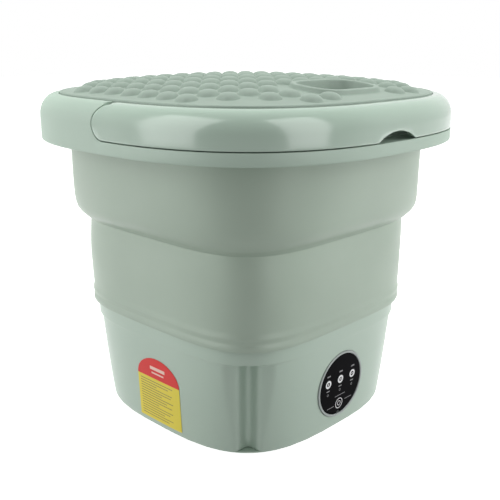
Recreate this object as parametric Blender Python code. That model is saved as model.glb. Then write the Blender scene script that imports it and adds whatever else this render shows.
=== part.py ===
"""Portable mini washer: square base with motor, folding tub, carry handle and lift-off lid.

Frame: metres, +Z up, origin at the centre of the footprint on the floor.
The control panel faces -Y, the information label faces -X.
"""
import math

import bmesh
import bpy
from mathutils import Matrix, Vector
from mathutils.geometry import delaunay_2d_cdt

MM = 0.001

# Heights above the floor
FOOT_DROP = 1.2
COVER_TOP = 3.1
WALL_BOTTOM = 3.4
LEDGE_LOW = 94.5
LEDGE_HIGH = 96.5
SEAM = 110.6
COLLAR_TOP = 117.5
DECK_TOP = 76.0
DECK_UNDER = 72.0
STEP_LOW = 199.5
LOWER_TOP = 203.0
FLANGE_LOW = 282.3
WEB_UNDER = 291.5
WEB_TOP = 293.7
SEAT_TOP = 323.5
SHELL_TOP = 325.6
LID_UNDER = 324.0
LID_EDGE_TOP = 326.8

# Plan shapes: (half width of a side, superellipse exponent)
BASE_FOOT = (128.1, 3.15)
BASE_HIGH = (132.2, 3.9)
BASE_RING = (132.5, 4.05)
COLLAR_OUT = (129.4, 4.05)
BELLOWS_LOW_OUT = (135.2, 4.22)
FLANGE_OUT = (186.8, 2.7)
MOUTH_IN = (163.0, 2.8)
MOUTH_OUT = (165.5, 2.8)
LID_EDGE = (166.7, 2.84)

# Base wall and its four scooped corners
WALL = 2.8
CHAMFER_LOW = 145.0
CHAMFER_RISE = 0.068
SCOOP_DEPTH = 7.0
SCOOP_HALF = 13.0

# Handle
PIVOT_Y = -13.5
PIVOT_Z = 318.0
END_Z = 309.3
END_R = 14.6
END_GAP = 1.2
RELIEF_Y = -5.0
NOTCH_X = -8.0
NOTCH_HALF = 27.0
NOTCH_HIGH = 8.0
PIN_R = 2.3
PIN_INNER = 161.4
PIN_OUTER = 176.6

# Lid
DOME_RISE = 13.5
BUMP_PITCH = 24.0
BUMP_R = 10.0
BUMP_HIGH = 4.0
BUMP_ROWS = 6
TRAY_Y = -112.0
TRAY_OUT = (44.0, 29.0, 24.0)
TRAY_IN = (38.5, 23.5, 18.5)
TRAY_LIP = 4.2
TRAY_DEEP = 9.0

# Drive
SHAFT_R = 4.0
HOLE_R = 11.2
PULSATOR_R = 90.0

# Control panel, set in the sloping front wall
PANEL_Z = 47.5
PANEL_R = 31.9
DRAFT = math.radians(2.5)

# Fixing points in plan
SCREW_SPOTS = ((-92.0, -50.0), (92.0, -50.0), (-92.0, 50.0), (92.0, 50.0))
FOOT_SPOTS = ((-84.0, -84.0), (84.0, -84.0), (-84.0, 84.0), (84.0, 84.0))
BRACKET_SPOTS = ((-26.0, -14.0), (26.0, 14.0))
DRAIN_SPOT = (26.0, 92.0)
OUTLET_Z = 14.5

FINE_STEPS = (1.7, 3.4, 5.2, 7.5, 11.3, 17.0, 26.0, 35.0)
COARSE_STEPS = (5.0, 10.0, 16.0, 24.0, 34.0)


def angle_list(steps):
    """Angles round the plan, closer together at the four corners."""
    angles = []
    for quarter in range(4):
        middle = 45.0 + 90.0 * quarter
        angles += [middle - 45.0]
        angles += [middle - step for step in reversed(steps)]
        angles += [middle]
        angles += [middle + step for step in steps]
    return [math.radians(angle) for angle in angles]


FINE = angle_list(FINE_STEPS)
COARSE = angle_list(COARSE_STEPS)


def reach(half, power, angle):
    """Distance from the centre to a superellipse in one direction."""
    cosine = abs(math.cos(angle))
    sine = abs(math.sin(angle))
    return half / (cosine ** power + sine ** power) ** (1.0 / power)


def polar_ring(radii, angles, height):
    points = []
    for radius, angle in zip(radii, angles):
        points.append((radius * math.cos(angle), radius * math.sin(angle), height))
    return points


def ring(shape, height, angles=COARSE, inset=0.0):
    radii = [reach(shape[0], shape[1], angle) - inset for angle in angles]
    return polar_ring(radii, angles, height)


def circle(radius, height, angles=COARSE):
    return polar_ring([radius] * len(angles), angles, height)


def base_radius(angle, height, scooped=True):
    """Outer wall of the base below the ledge: bowed faces, flat corners with a scoop."""
    share = (height - WALL_BOTTOM) / (LEDGE_LOW - WALL_BOTTOM)
    half = BASE_FOOT[0] + share * (BASE_HIGH[0] - BASE_FOOT[0])
    power = BASE_FOOT[1] + share * (BASE_HIGH[1] - BASE_FOOT[1])
    from_corner = (angle % (math.pi / 2)) - math.pi / 4
    flat = (CHAMFER_LOW + CHAMFER_RISE * height) / math.cos(from_corner)
    radius = min(reach(half, power, angle), flat)
    across = abs(radius * math.sin(from_corner))
    if scooped and across < SCOOP_HALF:
        radius -= SCOOP_DEPTH * math.cos(0.5 * math.pi * across / SCOOP_HALF) ** 2
    return radius


def base_ring(height, level=None, inset=0.0, scooped=True):
    level = height if level is None else level
    radii = [base_radius(angle, level, scooped) - inset for angle in FINE]
    return polar_ring(radii, FINE, height)


def material(name, colour, roughness, metallic=0.0):
    made = bpy.data.materials.new(name)
    made.use_nodes = True
    shader = made.node_tree.nodes["Principled BSDF"]
    shader.inputs["Base Color"].default_value = (*colour, 1.0)
    shader.inputs["Roughness"].default_value = roughness
    shader.inputs["Metallic"].default_value = metallic
    made.diffuse_color = (*colour, 1.0)
    return made


def finish(name, builder, look, origin=(0.0, 0.0, 0.0)):
    """Turn a bmesh in millimetres into a named object whose origin is given in millimetres."""
    bmesh.ops.recalc_face_normals(builder, faces=builder.faces[:])
    shift = Vector(origin)
    for vert in builder.verts:
        vert.co = (vert.co - shift) * MM
    mesh = bpy.data.meshes.new(name)
    builder.to_mesh(mesh)
    builder.free()
    made = bpy.data.objects.new(name, mesh)
    made.location = shift * MM
    bpy.context.collection.objects.link(made)
    if look is not None:
        mesh.materials.append(look)
    return made


def add_loop(builder, rings):
    """Skin a closed cycle of rings: a ring-shaped body with a hole through the middle."""
    rows = [[builder.verts.new(point) for point in row] for row in rings]
    count = len(rows[0])
    for index, row in enumerate(rows):
        following = rows[(index + 1) % len(rows)]
        for near in range(count):
            far = (near + 1) % count
            builder.faces.new((row[near], row[far], following[far], following[near]))


def add_stack(builder, rings):
    """Skin an open run of rings and close both ends with flat caps."""
    rows = [[builder.verts.new(point) for point in row] for row in rings]
    count = len(rows[0])
    for row, following in zip(rows, rows[1:]):
        for near in range(count):
            far = (near + 1) % count
            builder.faces.new((row[near], row[far], following[far], following[near]))
    builder.faces.new(rows[0])
    builder.faces.new(rows[-1])


def looped(name, rings, look, origin=(0.0, 0.0, 0.0)):
    builder = bmesh.new()
    add_loop(builder, rings)
    return finish(name, builder, look, origin)


def stacked(name, rings, look, origin=(0.0, 0.0, 0.0)):
    builder = bmesh.new()
    add_stack(builder, rings)
    return finish(name, builder, look, origin)


def even_angles(count):
    return [2.0 * math.pi * index / count for index in range(count)]


def turned(name, profile, look, frame, sides=32, hollow=False):
    """Turn a profile of (radius, distance along the axis) about the local Z axis of a frame."""
    angles = even_angles(sides)
    rings = []
    for radius, along in profile:
        flat = polar_ring([radius] * sides, angles, along)
        rings.append([frame @ Vector(point) for point in flat])
    builder = bmesh.new()
    if hollow:
        add_loop(builder, rings)
    else:
        add_stack(builder, rings)
    return finish(name, builder, look, frame.translation)


def upright(x, y, z):
    return Matrix.Translation((x, y, z))


def facing(x, y, z, direction):
    turn = Vector((0.0, 0.0, 1.0)).rotation_difference(Vector(direction))
    return Matrix.Translation((x, y, z)) @ turn.to_matrix().to_4x4()


def block(name, low, high, look):
    builder = bmesh.new()
    bmesh.ops.create_cube(builder, size=1.0)
    for vert in builder.verts:
        for axis in range(3):
            share = vert.co[axis] + 0.5
            vert.co[axis] = low[axis] + share * (high[axis] - low[axis])
    return finish(name, builder, look)


def carve(target, tool, operation="DIFFERENCE"):
    """Boolean modifier whose tool object stays in the file, hidden from the result."""
    step = target.modifiers.new(operation.title() + "_" + tool.name, "BOOLEAN")
    step.operation = operation
    step.solver = "EXACT"
    step.object = tool
    tool.hide_render = True
    tool.display_type = "WIRE"


def prism(name, outline, low, high):
    """Extrude an outline of (y, z) points along X."""
    builder = bmesh.new()
    near = [builder.verts.new((low, y, z)) for y, z in outline]
    far = [builder.verts.new((high, y, z)) for y, z in outline]
    builder.faces.new(near)
    builder.faces.new(list(reversed(far)))
    count = len(outline)
    for index in range(count):
        after = (index + 1) % count
        builder.faces.new((near[index], near[after], far[after], far[index]))
    return finish(name, builder, None)


def base_half(height):
    share = (height - WALL_BOTTOM) / (LEDGE_LOW - WALL_BOTTOM)
    return BASE_FOOT[0] + share * (BASE_HIGH[0] - BASE_FOOT[0])


def on_wall(x, z, side):
    """Frame on the front (-1) or back (+1) wall whose local Z points out of the wall."""
    share = (z - WALL_BOTTOM) / (LEDGE_LOW - WALL_BOTTOM)
    power = BASE_FOOT[1] + share * (BASE_HIGH[1] - BASE_FOOT[1])
    deep = (base_half(z) ** power - abs(x) ** power) ** (1.0 / power)
    return facing(x, side * deep, z, (0.0, side * math.cos(DRAFT), -math.sin(DRAFT)))


PANEL_FRAME = on_wall(0.0, PANEL_Z, -1.0)
SOCKET_FRAME = on_wall(-26.0, OUTLET_Z, 1.0)
DRAIN_FRAME = on_wall(DRAIN_SPOT[0], OUTLET_Z, 1.0)


# ---------------------------------------------------------------- base


def make_base(look):
    rings = [
        base_ring(WALL_BOTTOM, inset=WALL),
        base_ring(WALL_BOTTOM, inset=1.0),
        base_ring(WALL_BOTTOM + 1.6),
        base_ring(50.0),
        base_ring(LEDGE_LOW),
        ring(BASE_RING, LEDGE_HIGH, FINE),
        ring(BASE_RING, SEAM, FINE),
        ring(COLLAR_OUT, SEAM, FINE),
        ring(COLLAR_OUT, COLLAR_TOP, FINE),
        ring(COLLAR_OUT, COLLAR_TOP, FINE, 2.2),
        base_ring(LEDGE_HIGH + 1.0, LEDGE_LOW, WALL),
        base_ring(DECK_TOP + 3.0, inset=WALL),
        base_ring(DECK_TOP, inset=WALL + 5.0),
        circle(24.0, DECK_TOP, FINE),
        circle(HOLE_R, DECK_TOP, FINE),
        circle(HOLE_R, DECK_UNDER, FINE),
        circle(24.0, DECK_UNDER, FINE),
        base_ring(DECK_UNDER, inset=WALL),
    ]
    shell = looped("base_shell", rings, look)
    for index, (x, y) in enumerate(SCREW_SPOTS):
        post = ((4.6, WALL_BOTTOM), (4.6, DECK_UNDER + 1.0))
        carve(shell, turned("cut_post_%d" % index, post, None, upright(x, y, 0.0), 12), "UNION")
    for index, (x, y) in enumerate(SCREW_SPOTS):
        pilot = ((2.0, WALL_BOTTOM - 1.0), (2.0, 17.0))
        carve(shell, turned("cut_pilot_%d" % index, pilot, None, upright(x, y, 0.0), 10))
    carve(shell, turned("add_pocket", ((PANEL_R + 5.3, -9.6), (PANEL_R + 5.3, -1.0)), None,
                        PANEL_FRAME, 40), "UNION")
    carve(shell, turned("cut_pocket", ((PANEL_R + 3.0, -7.8), (PANEL_R + 3.0, 6.0)), None,
                        PANEL_FRAME, 40))
    wires = PANEL_FRAME @ Matrix.Translation((0.0, -20.0, 0.0))
    carve(shell, turned("cut_wires", ((2.5, -12.0), (2.5, -6.0)), None, wires, 12))
    socket = ((5.4, -12.0), (5.4, 6.0))
    carve(shell, turned("cut_socket", socket, None, SOCKET_FRAME, 20))
    spout = ((7.4, -14.0), (7.4, 6.0))
    carve(shell, turned("cut_drain", spout, None, DRAIN_FRAME, 24))
    sump = ((6.0, DECK_UNDER - 2.0), (6.0, DECK_TOP + 2.0))
    carve(shell, turned("cut_sump", sump, None, upright(*DRAIN_SPOT, 0.0), 20))
    for index, (x, y) in enumerate(BRACKET_SPOTS):
        blind = ((1.7, DECK_UNDER - 2.0), (1.7, DECK_TOP - 1.2))
        carve(shell, turned("cut_blind_%d" % index, blind, None, upright(x, y, 0.0), 10))
    return shell


def make_cover(look):
    edge = 1.3
    rings = [
        base_ring(FOOT_DROP, WALL_BOTTOM, edge + 1.0, scooped=False),
        base_ring(FOOT_DROP + 0.8, WALL_BOTTOM, edge, scooped=False),
        base_ring(COVER_TOP, WALL_BOTTOM, edge, scooped=False),
    ]
    cover = stacked("bottom_cover", rings, look)
    for index, (x, y) in enumerate(SCREW_SPOTS):
        sink = ((4.1, 0.0), (4.1, FOOT_DROP + 1.3), (2.0, FOOT_DROP + 1.3), (2.0, COVER_TOP + 1.0))
        carve(cover, turned("cut_sink_%d" % index, sink, None, upright(x, y, 0.0), 10))
    for index, (x, y) in enumerate(FOOT_SPOTS):
        seat = ((9.3, 0.0), (9.3, FOOT_DROP + 0.9))
        carve(cover, turned("cut_seat_%d" % index, seat, None, upright(x, y, 0.0), 16))
    return cover


def make_feet(look):
    names = ("foot_front_left", "foot_front_right", "foot_back_left", "foot_back_right")
    profile = ((8.0, 0.0), (9.0, 1.0), (9.0, FOOT_DROP + 0.6))
    for name, (x, y) in zip(names, FOOT_SPOTS):
        turned(name, profile, look, upright(x, y, 0.0), 16)


def make_cover_screws(look):
    profile = ((3.2, FOOT_DROP + 0.1), (3.8, FOOT_DROP + 0.4), (3.8, FOOT_DROP + 1.0),
               (1.7, FOOT_DROP + 1.1), (1.7, 15.0), (0.6, 16.0))
    for index, (x, y) in enumerate(SCREW_SPOTS):
        turned("cover_screw_%d" % (index + 1), profile, look, upright(x, y, 0.0), 12)


# ---------------------------------------------------------------- drive


def make_drive(looks):
    bracket = turned("motor_bracket", ((HOLE_R + 0.3, 69.2), (38.0, 69.2), (38.0, 71.7),
                                       (HOLE_R + 0.3, 71.7)), looks["steel"],
                     upright(0.0, 0.0, 0.0), 32, True)
    for index, (x, y) in enumerate(BRACKET_SPOTS):
        hole = ((1.9, 68.0), (1.9, 73.0))
        carve(bracket, turned("cut_bracket_%d" % index, hole, None, upright(x, y, 0.0), 10))
        profile = ((2.4, 66.6), (3.0, 67.2), (3.0, 68.9), (1.4, 68.9), (1.4, DECK_TOP - 1.6))
        turned("bracket_screw_%d" % (index + 1), profile, looks["steel"], upright(x, y, 0.0), 10)
    can = ((20.0, 24.0), (26.0, 26.0), (26.0, 64.0), (22.0, 66.0), (9.0, 66.0), (9.0, 68.9),
           (SHAFT_R + 0.3, 68.9), (SHAFT_R + 0.3, 52.0))
    turned("motor", can, looks["can"], upright(0.0, 0.0, 0.0), 28)
    shaft = ((SHAFT_R - 0.6, 52.6), (SHAFT_R, 53.2), (SHAFT_R, 95.0), (2.2, 95.0), (2.2, 86.0))
    turned("drive_shaft", shaft, looks["steel"], upright(0.0, 0.0, 0.0), 16)
    bush = ((SHAFT_R + 0.1, 69.4), (HOLE_R - 0.3, 69.4), (HOLE_R - 0.3, 76.4), (14.0, 76.4),
            (14.0, 78.4), (SHAFT_R + 0.1, 78.4))
    turned("bearing_bush", bush, looks["brass"], upright(0.0, 0.0, 0.0), 24, True)
    seal = ((SHAFT_R + 0.2, 78.7), (11.0, 78.7), (11.0, 80.0), (7.0, 82.4), (SHAFT_R + 0.2, 82.4))
    turned("shaft_seal", seal, looks["rubber"], upright(0.0, 0.0, 0.0), 24, True)


def pulsator_height(radius, angle):
    """Top of the wash disc: low dome with a hub and six swept vanes."""
    if radius < 20.0:
        return 103.0 - 3.0 * (radius / 20.0) ** 2
    dome = 93.0 - 5.0 * (radius / PULSATOR_R) ** 2
    wave = math.cos(3.0 * angle + radius * 0.012)
    vane = 7.0 * max(0.0, wave) ** 3
    fade = min(1.0, (PULSATOR_R - radius) / 14.0)
    return dome + vane * fade


def make_pulsator(look, steel):
    angles = even_angles(36)
    bore = SHAFT_R + 0.3
    rings = [circle(bore, 84.5, angles), circle(14.0, 84.5, angles), circle(16.0, 87.0, angles),
             circle(PULSATOR_R - 4.0, 84.6, angles), circle(PULSATOR_R, 83.4, angles)]
    for radius in (PULSATOR_R, 78.0, 58.0, 38.0, 24.0, 20.0 - 0.01, 12.0):
        points = []
        for angle in angles:
            height = pulsator_height(radius, angle) if radius < PULSATOR_R else 86.8
            points.append((radius * math.cos(angle), radius * math.sin(angle), height))
        rings.append(points)
    rings += [circle(7.0, 102.4, angles), circle(7.0, 99.4, angles), circle(2.2, 99.4, angles),
              circle(2.2, 95.4, angles), circle(bore, 95.4, angles)]
    looped("pulsator", rings, look)
    screw = ((1.9, 86.5), (1.9, 99.7), (6.4, 99.7), (6.4, 101.6), (4.6, 103.4))
    turned("pulsator_screw", screw, steel, upright(0.0, 0.0, 0.0), 20)


# ---------------------------------------------------------------- electrics


def make_panel(looks):
    bezel = ((34.5, -4.2), (34.5, 0.6), (34.0, 1.0), (32.6, 1.0), (32.2, 0.6), (32.2, -3.4),
             (29.5, -3.4), (29.5, -4.2))
    turned("control_bezel", bezel, looks["grey"], PANEL_FRAME, 40, True)
    panel = turned("control_panel", ((PANEL_R, -3.1), (PANEL_R, 0.1), (PANEL_R - 0.4, 0.5)),
                   looks["black"], PANEL_FRAME, 40)
    tab = PANEL_FRAME @ Matrix.Translation((0.0, -PANEL_R, 0.0))
    carve(panel, turned("cut_tab", ((3.4, -6.0), (3.4, 4.0)), None, tab, 16))
    turned("touch_board", ((29.0, -6.2), (29.0, -4.6)), looks["board"], PANEL_FRAME, 32)
    board = block("circuit_board", (48.0, -45.0, 24.0), (49.6, 35.0, 64.0), looks["board"])
    parts = (((49.4, -38.0, 30.0), (62.0, -22.0, 52.0)), ((49.4, -8.0, 34.0), (58.0, 8.0, 58.0)),
             ((49.4, 16.0, 28.0), (56.0, 30.0, 44.0)))
    for index, (low, high) in enumerate(parts):
        carve(board, block("cut_component_%d" % index, low, high, None), "UNION")
    socket = ((5.0, -9.0), (5.0, 0.5), (7.0, 0.5), (7.0, 2.0), (3.4, 2.0), (3.4, -7.0))
    turned("dc_socket", socket, looks["black"], SOCKET_FRAME, 20)


def make_label(look):
    """Thin sheet lying on the bowed side wall: a square field under a round arch."""
    low_z, square_z, arch = 8.0, 54.5, 22.0
    middle, half = -6.5, 31.0
    columns, rows = 14, 4
    builder = bmesh.new()
    sheets = []
    for lift in (0.12, 0.42):
        sheet = []
        for column in range(columns + 1):
            across = -1.0 + 2.0 * column / columns
            top = square_z + arch * math.sqrt(max(0.0, 1.0 - across * across))
            line = []
            for row in range(rows + 1):
                y = middle + half * across
                z = low_z + (top - low_z) * row / rows
                wall = on_wall(y, z, 1.0).translation.y
                line.append(builder.verts.new((-wall - lift, y, z)))
            sheet.append(line)
        sheets.append(sheet)
    for sheet in sheets:
        for column in range(columns):
            for row in range(rows):
                builder.faces.new((sheet[column][row], sheet[column + 1][row],
                                   sheet[column + 1][row + 1], sheet[column][row + 1]))
    for column in range(columns):
        for row in (0, rows):
            builder.faces.new((sheets[0][column][row], sheets[0][column + 1][row],
                               sheets[1][column + 1][row], sheets[1][column][row]))
    for row in range(rows):
        for column in (0, columns):
            builder.faces.new((sheets[0][column][row], sheets[0][column][row + 1],
                               sheets[1][column][row + 1], sheets[1][column][row]))
    return finish("info_label", builder, look)


def swept(name, path, outer, inner, look, sides=14):
    """Tube along a path in the YZ plane: outside skin, then inside skin."""
    rows = []
    for radius in (outer, inner):
        skin = []
        for index, point in enumerate(path):
            before = path[max(0, index - 1)]
            after = path[min(len(path) - 1, index + 1)]
            along = (Vector(after) - Vector(before)).normalized()
            side = Vector((1.0, 0.0, 0.0))
            up = along.cross(side)
            row = []
            for angle in even_angles(sides):
                offset = side * math.cos(angle) * radius + up * math.sin(angle) * radius
                row.append(Vector(point) + offset)
            skin.append(row)
        rows.append(skin)
    return looped(name, rows[0] + list(reversed(rows[1])), look)


def make_drain(look, rubber):
    pipe = ((4.8, -12.0), (7.0, -12.0), (7.0, 0.6), (9.6, 0.6), (9.6, 2.4), (7.0, 2.4),
            (7.0, 14.0), (4.8, 14.0))
    turned("drain_spigot", pipe, look, DRAIN_FRAME, 24, True)
    cap = ((4.4, 8.0), (4.4, 14.4), (7.4, 14.4), (7.4, 4.0), (9.2, 4.0), (9.2, 15.6), (8.2, 16.6))
    turned("drain_cap", cap, rubber, DRAIN_FRAME, 24)
    x, y = DRAIN_SPOT
    low = OUTLET_Z + 0.4
    path = [(x, y, DECK_UNDER - 0.3)]
    bend = 16.0
    for step in range(5):
        angle = math.radians(22.5 * step)
        path.append((x, y + bend * (1.0 - math.cos(angle)), low + bend * (1.0 - math.sin(angle))))
    path.append((x, y + bend + 12.0, low))
    swept("drain_hose", path, 8.8, 7.3, rubber)


# ---------------------------------------------------------------- tub


def make_bellows(look):
    lower = [
        ring((BELLOWS_LOW_OUT[0] + 0.6, 4.22), SEAM + 0.4),
        ring((BELLOWS_LOW_OUT[0] + 0.6, 4.22), SEAM + 7.0),
        ring(BELLOWS_LOW_OUT, SEAM + 9.5),
        ring(BELLOWS_LOW_OUT, LOWER_TOP),
        ring((133.1, 4.22), LOWER_TOP),
        ring((133.1, 4.22), SEAM + 0.4),
    ]
    looped("bellows_lower", lower, look)
    skin = [
        ((138.9, 4.2), STEP_LOW),
        ((143.5, 3.8), 204.0),
        ((151.5, 3.35), 210.5),
        ((155.2, 3.15), 218.0),
        ((157.4, 3.0), 252.0),
        ((159.2, 2.9), 288.4),
        ((172.0, 2.75), 288.4),
        ((172.0, 2.75), 291.2),
        ((157.0, 2.9), 291.2),
        ((155.1, 3.0), 252.0),
        ((152.9, 3.15), 219.5),
        ((149.8, 3.35), 213.2),
        ((142.2, 3.8), 206.8),
        ((136.4, 4.2), 202.6),
        ((136.4, 4.2), STEP_LOW),
    ]
    looped("bellows_upper", [ring(shape, height) for shape, height in skin], look)


# Outside of the rim above the flange, and its inside 2.4 mm in
SHELL_OUT = (
    ((186.8, 2.7), 306.0),
    ((185.6, 2.7), 313.0),
    ((182.4, 2.71), 319.2),
    ((177.6, 2.73), 323.8),
    ((174.0, 2.75), SHELL_TOP - 0.3),
)
SHELL_IN = (
    ((184.4, 2.7), 305.5),
    ((183.3, 2.7), 312.2),
    ((180.3, 2.71), 317.8),
    ((176.2, 2.73), 321.6),
    ((173.2, 2.75), 323.0),
)


def side_outline(grow, top_y):
    """Side view (y, z) of the handle: long band with a round end just in front of the middle."""
    radius = END_R + grow
    outline = [(-240.0, END_Z - radius)]
    for step in range(13):
        angle = math.radians(-90.0 + 15.0 * step)
        y = PIVOT_Y + radius * math.cos(angle)
        z = END_Z + radius * math.sin(angle)
        if y < top_y and angle > 0.0:
            break
        outline.append((y, z))
    reach_up = math.sqrt(radius ** 2 - (top_y - PIVOT_Y) ** 2)
    outline.append((top_y, END_Z + reach_up))
    outline += [(top_y, 350.0), (-240.0, 350.0)]
    return outline


def pin_hole(target, side):
    frame = facing(side * 150.0, PIVOT_Y, PIVOT_Z, (side, 0.0, 0.0))
    hole = turned("cut_pin_%s_%d" % (target.name, side), ((PIN_R + 0.12, 0.0), (PIN_R + 0.12, 27.2)),
                  None, frame, 16)
    carve(target, hole)


def make_rim(look):
    outside = [
        ring((156.8, 2.9), WEB_UNDER),
        ring((184.4, 2.7), WEB_UNDER),
        ring((184.4, 2.7), FLANGE_LOW),
        ring((186.0, 2.7), FLANGE_LOW),
        ring(FLANGE_OUT, FLANGE_LOW + 1.0),
    ]
    outside += [ring(shape, height) for shape, height in SHELL_OUT]
    outside += [
        ring((167.6, 2.83), SHELL_TOP),
        ring((167.6, 2.83), SEAT_TOP),
        ring(MOUTH_IN, SEAT_TOP),
        ring(MOUTH_IN, WEB_TOP),
        ring((156.8, 2.9), WEB_TOP),
    ]
    rim = looped("rim_ring", outside, look)
    cavity = [ring(MOUTH_OUT, WEB_TOP), ring((184.4, 2.7), WEB_TOP)]
    cavity += [ring(shape, height) for shape, height in SHELL_IN]
    cavity += [ring((170.0, 2.8), 323.2), ring((169.0, 2.8), 321.2), ring(MOUTH_OUT, 321.2)]
    carve(rim, looped("cut_cavity", cavity, None))
    front = prism("cut_front", side_outline(END_GAP, RELIEF_Y), -230.0, 230.0)
    plug = stacked("cut_plug", [ring((165.0, 2.8), 270.0), ring((165.0, 2.8), 370.0)], None)
    carve(front, plug)
    carve(rim, front)
    for side in (-1.0, 1.0):
        pin_hole(rim, side)
    return rim


def make_handle(look):
    """Front half of the rim skin, solid at the two ends where the pins enter."""
    outer = [ring(FLANGE_OUT, 290.0)] + [ring(shape, height) for shape, height in SHELL_OUT]
    outer.append(ring((167.6, 2.83), SHELL_TOP))
    inner = []
    for shape, height in (((167.6, 2.83), 323.2),) + tuple(reversed(SHELL_IN)) + (
            ((184.4, 2.7), 290.0),):
        radii = []
        for angle in COARSE:
            thin = reach(shape[0], shape[1], angle)
            solid = reach(169.6, 2.8, angle)
            near_end = abs(math.sin(angle)) < 0.25
            radii.append(min(thin, solid) if near_end else thin)
        inner.append(polar_ring(radii, COARSE, height))
    handle = looped("handle", outer + inner, look, (0.0, PIVOT_Y, PIVOT_Z))
    carve(handle, prism("cut_band", side_outline(0.0, PIVOT_Y), -230.0, 230.0), "INTERSECT")
    bow = (NOTCH_HALF ** 2 + NOTCH_HIGH ** 2) / (2.0 * NOTCH_HIGH)
    low = END_Z - END_R
    arch = facing(NOTCH_X, -150.0, low + NOTCH_HIGH - bow, (0.0, -1.0, 0.0))
    carve(handle, turned("cut_notch", ((bow, 0.0), (bow, 60.0)), None, arch, 64))
    for side in (-1.0, 1.0):
        pin_hole(handle, side)
    return handle


def make_pins(look):
    for name, side in (("pivot_pin_left", -1.0), ("pivot_pin_right", 1.0)):
        length = PIN_OUTER - PIN_INNER
        profile = ((3.0, 0.0), (3.6, 0.3), (3.6, 1.1), (PIN_R, 1.1), (PIN_R, length - 0.6),
                   (PIN_R - 0.6, length))
        frame = facing(side * PIN_INNER, PIVOT_Y, PIVOT_Z, (side, 0.0, 0.0))
        turned(name, profile, look, frame, 14)


# ---------------------------------------------------------------- lid


def dome(x, y):
    """Height of the smooth lid skin at a point in plan."""
    distance = math.hypot(x, y)
    share = distance / reach(LID_EDGE[0], LID_EDGE[1], math.atan2(y, x))
    return LID_EDGE_TOP + DOME_RISE * max(0.0, 1.0 - share ** 2)


def tray_ring(size, per_corner=5):
    """Oblong with round corners about the tray centre: (half length, half width, radius)."""
    long, wide, radius = size
    points = []
    for quarter in range(4):
        corner_x = (long - radius) * (1 if quarter in (0, 3) else -1)
        corner_y = (wide - radius) * (1 if quarter in (0, 1) else -1)
        for step in range(per_corner + 1):
            angle = 0.5 * math.pi * (quarter + step / per_corner)
            x = corner_x + radius * math.cos(angle)
            y = TRAY_Y + corner_y + radius * math.sin(angle)
            points.append((x, y))
    return points


def tray_gap(x, y):
    """Distance in plan from a point to the outside of the tray lip."""
    over_x = max(0.0, abs(x) - (TRAY_OUT[0] - TRAY_OUT[2]))
    over_y = max(0.0, abs(y - TRAY_Y) - (TRAY_OUT[1] - TRAY_OUT[2]))
    return math.hypot(over_x, over_y) - TRAY_OUT[2]


def bump_centres():
    """Square grid of domes kept clear of the edge and of the tray."""
    centres = []
    for row in range(-BUMP_ROWS, BUMP_ROWS + 1):
        for column in range(-BUMP_ROWS, BUMP_ROWS + 1):
            x, y = column * BUMP_PITCH, row * BUMP_PITCH
            room = reach(LID_EDGE[0], LID_EDGE[1], math.atan2(y, x)) - math.hypot(x, y)
            if room > BUMP_R + 5.0 and tray_gap(x, y) > BUMP_R + 0.5:
                centres.append((x, y))
    return centres


def sheet(builder, loops, singles, down=False):
    """Triangulate closed loops and single points seen from above, then lift each to its height.

    Each loop is a list of (x, y, z). Returns the vertices of the first loop, in order.
    """
    flat = []
    heights = []
    edges = []
    for loop in loops:
        start = len(flat)
        for index, (x, y, z) in enumerate(loop):
            flat.append(Vector((x, y)))
            heights.append(z)
            edges.append((start + index, start + (index + 1) % len(loop)))
    for x, y, z in singles:
        flat.append(Vector((x, y)))
        heights.append(z)
    places, _, faces, sources, _, _ = delaunay_2d_cdt(flat, edges, [], 0, 1e-5)
    verts = []
    first = {}
    for place, source in zip(places, sources):
        vert = builder.verts.new((place.x, place.y, heights[source[0]]))
        verts.append(vert)
        for index in source:
            first[index] = vert
    for face in faces:
        corners = [verts[index] for index in face]
        builder.faces.new(list(reversed(corners)) if down else corners)
    return [first[index] for index in range(len(loops[0]))]


def lifted(points, height):
    if callable(height):
        return [(x, y, height(x, y)) for x, y in points]
    return [(x, y, height) for x, y in points]


def plan(shape, inset=0.0):
    return [(x, y) for x, y, _ in ring(shape, 0.0, COARSE, inset)]


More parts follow.
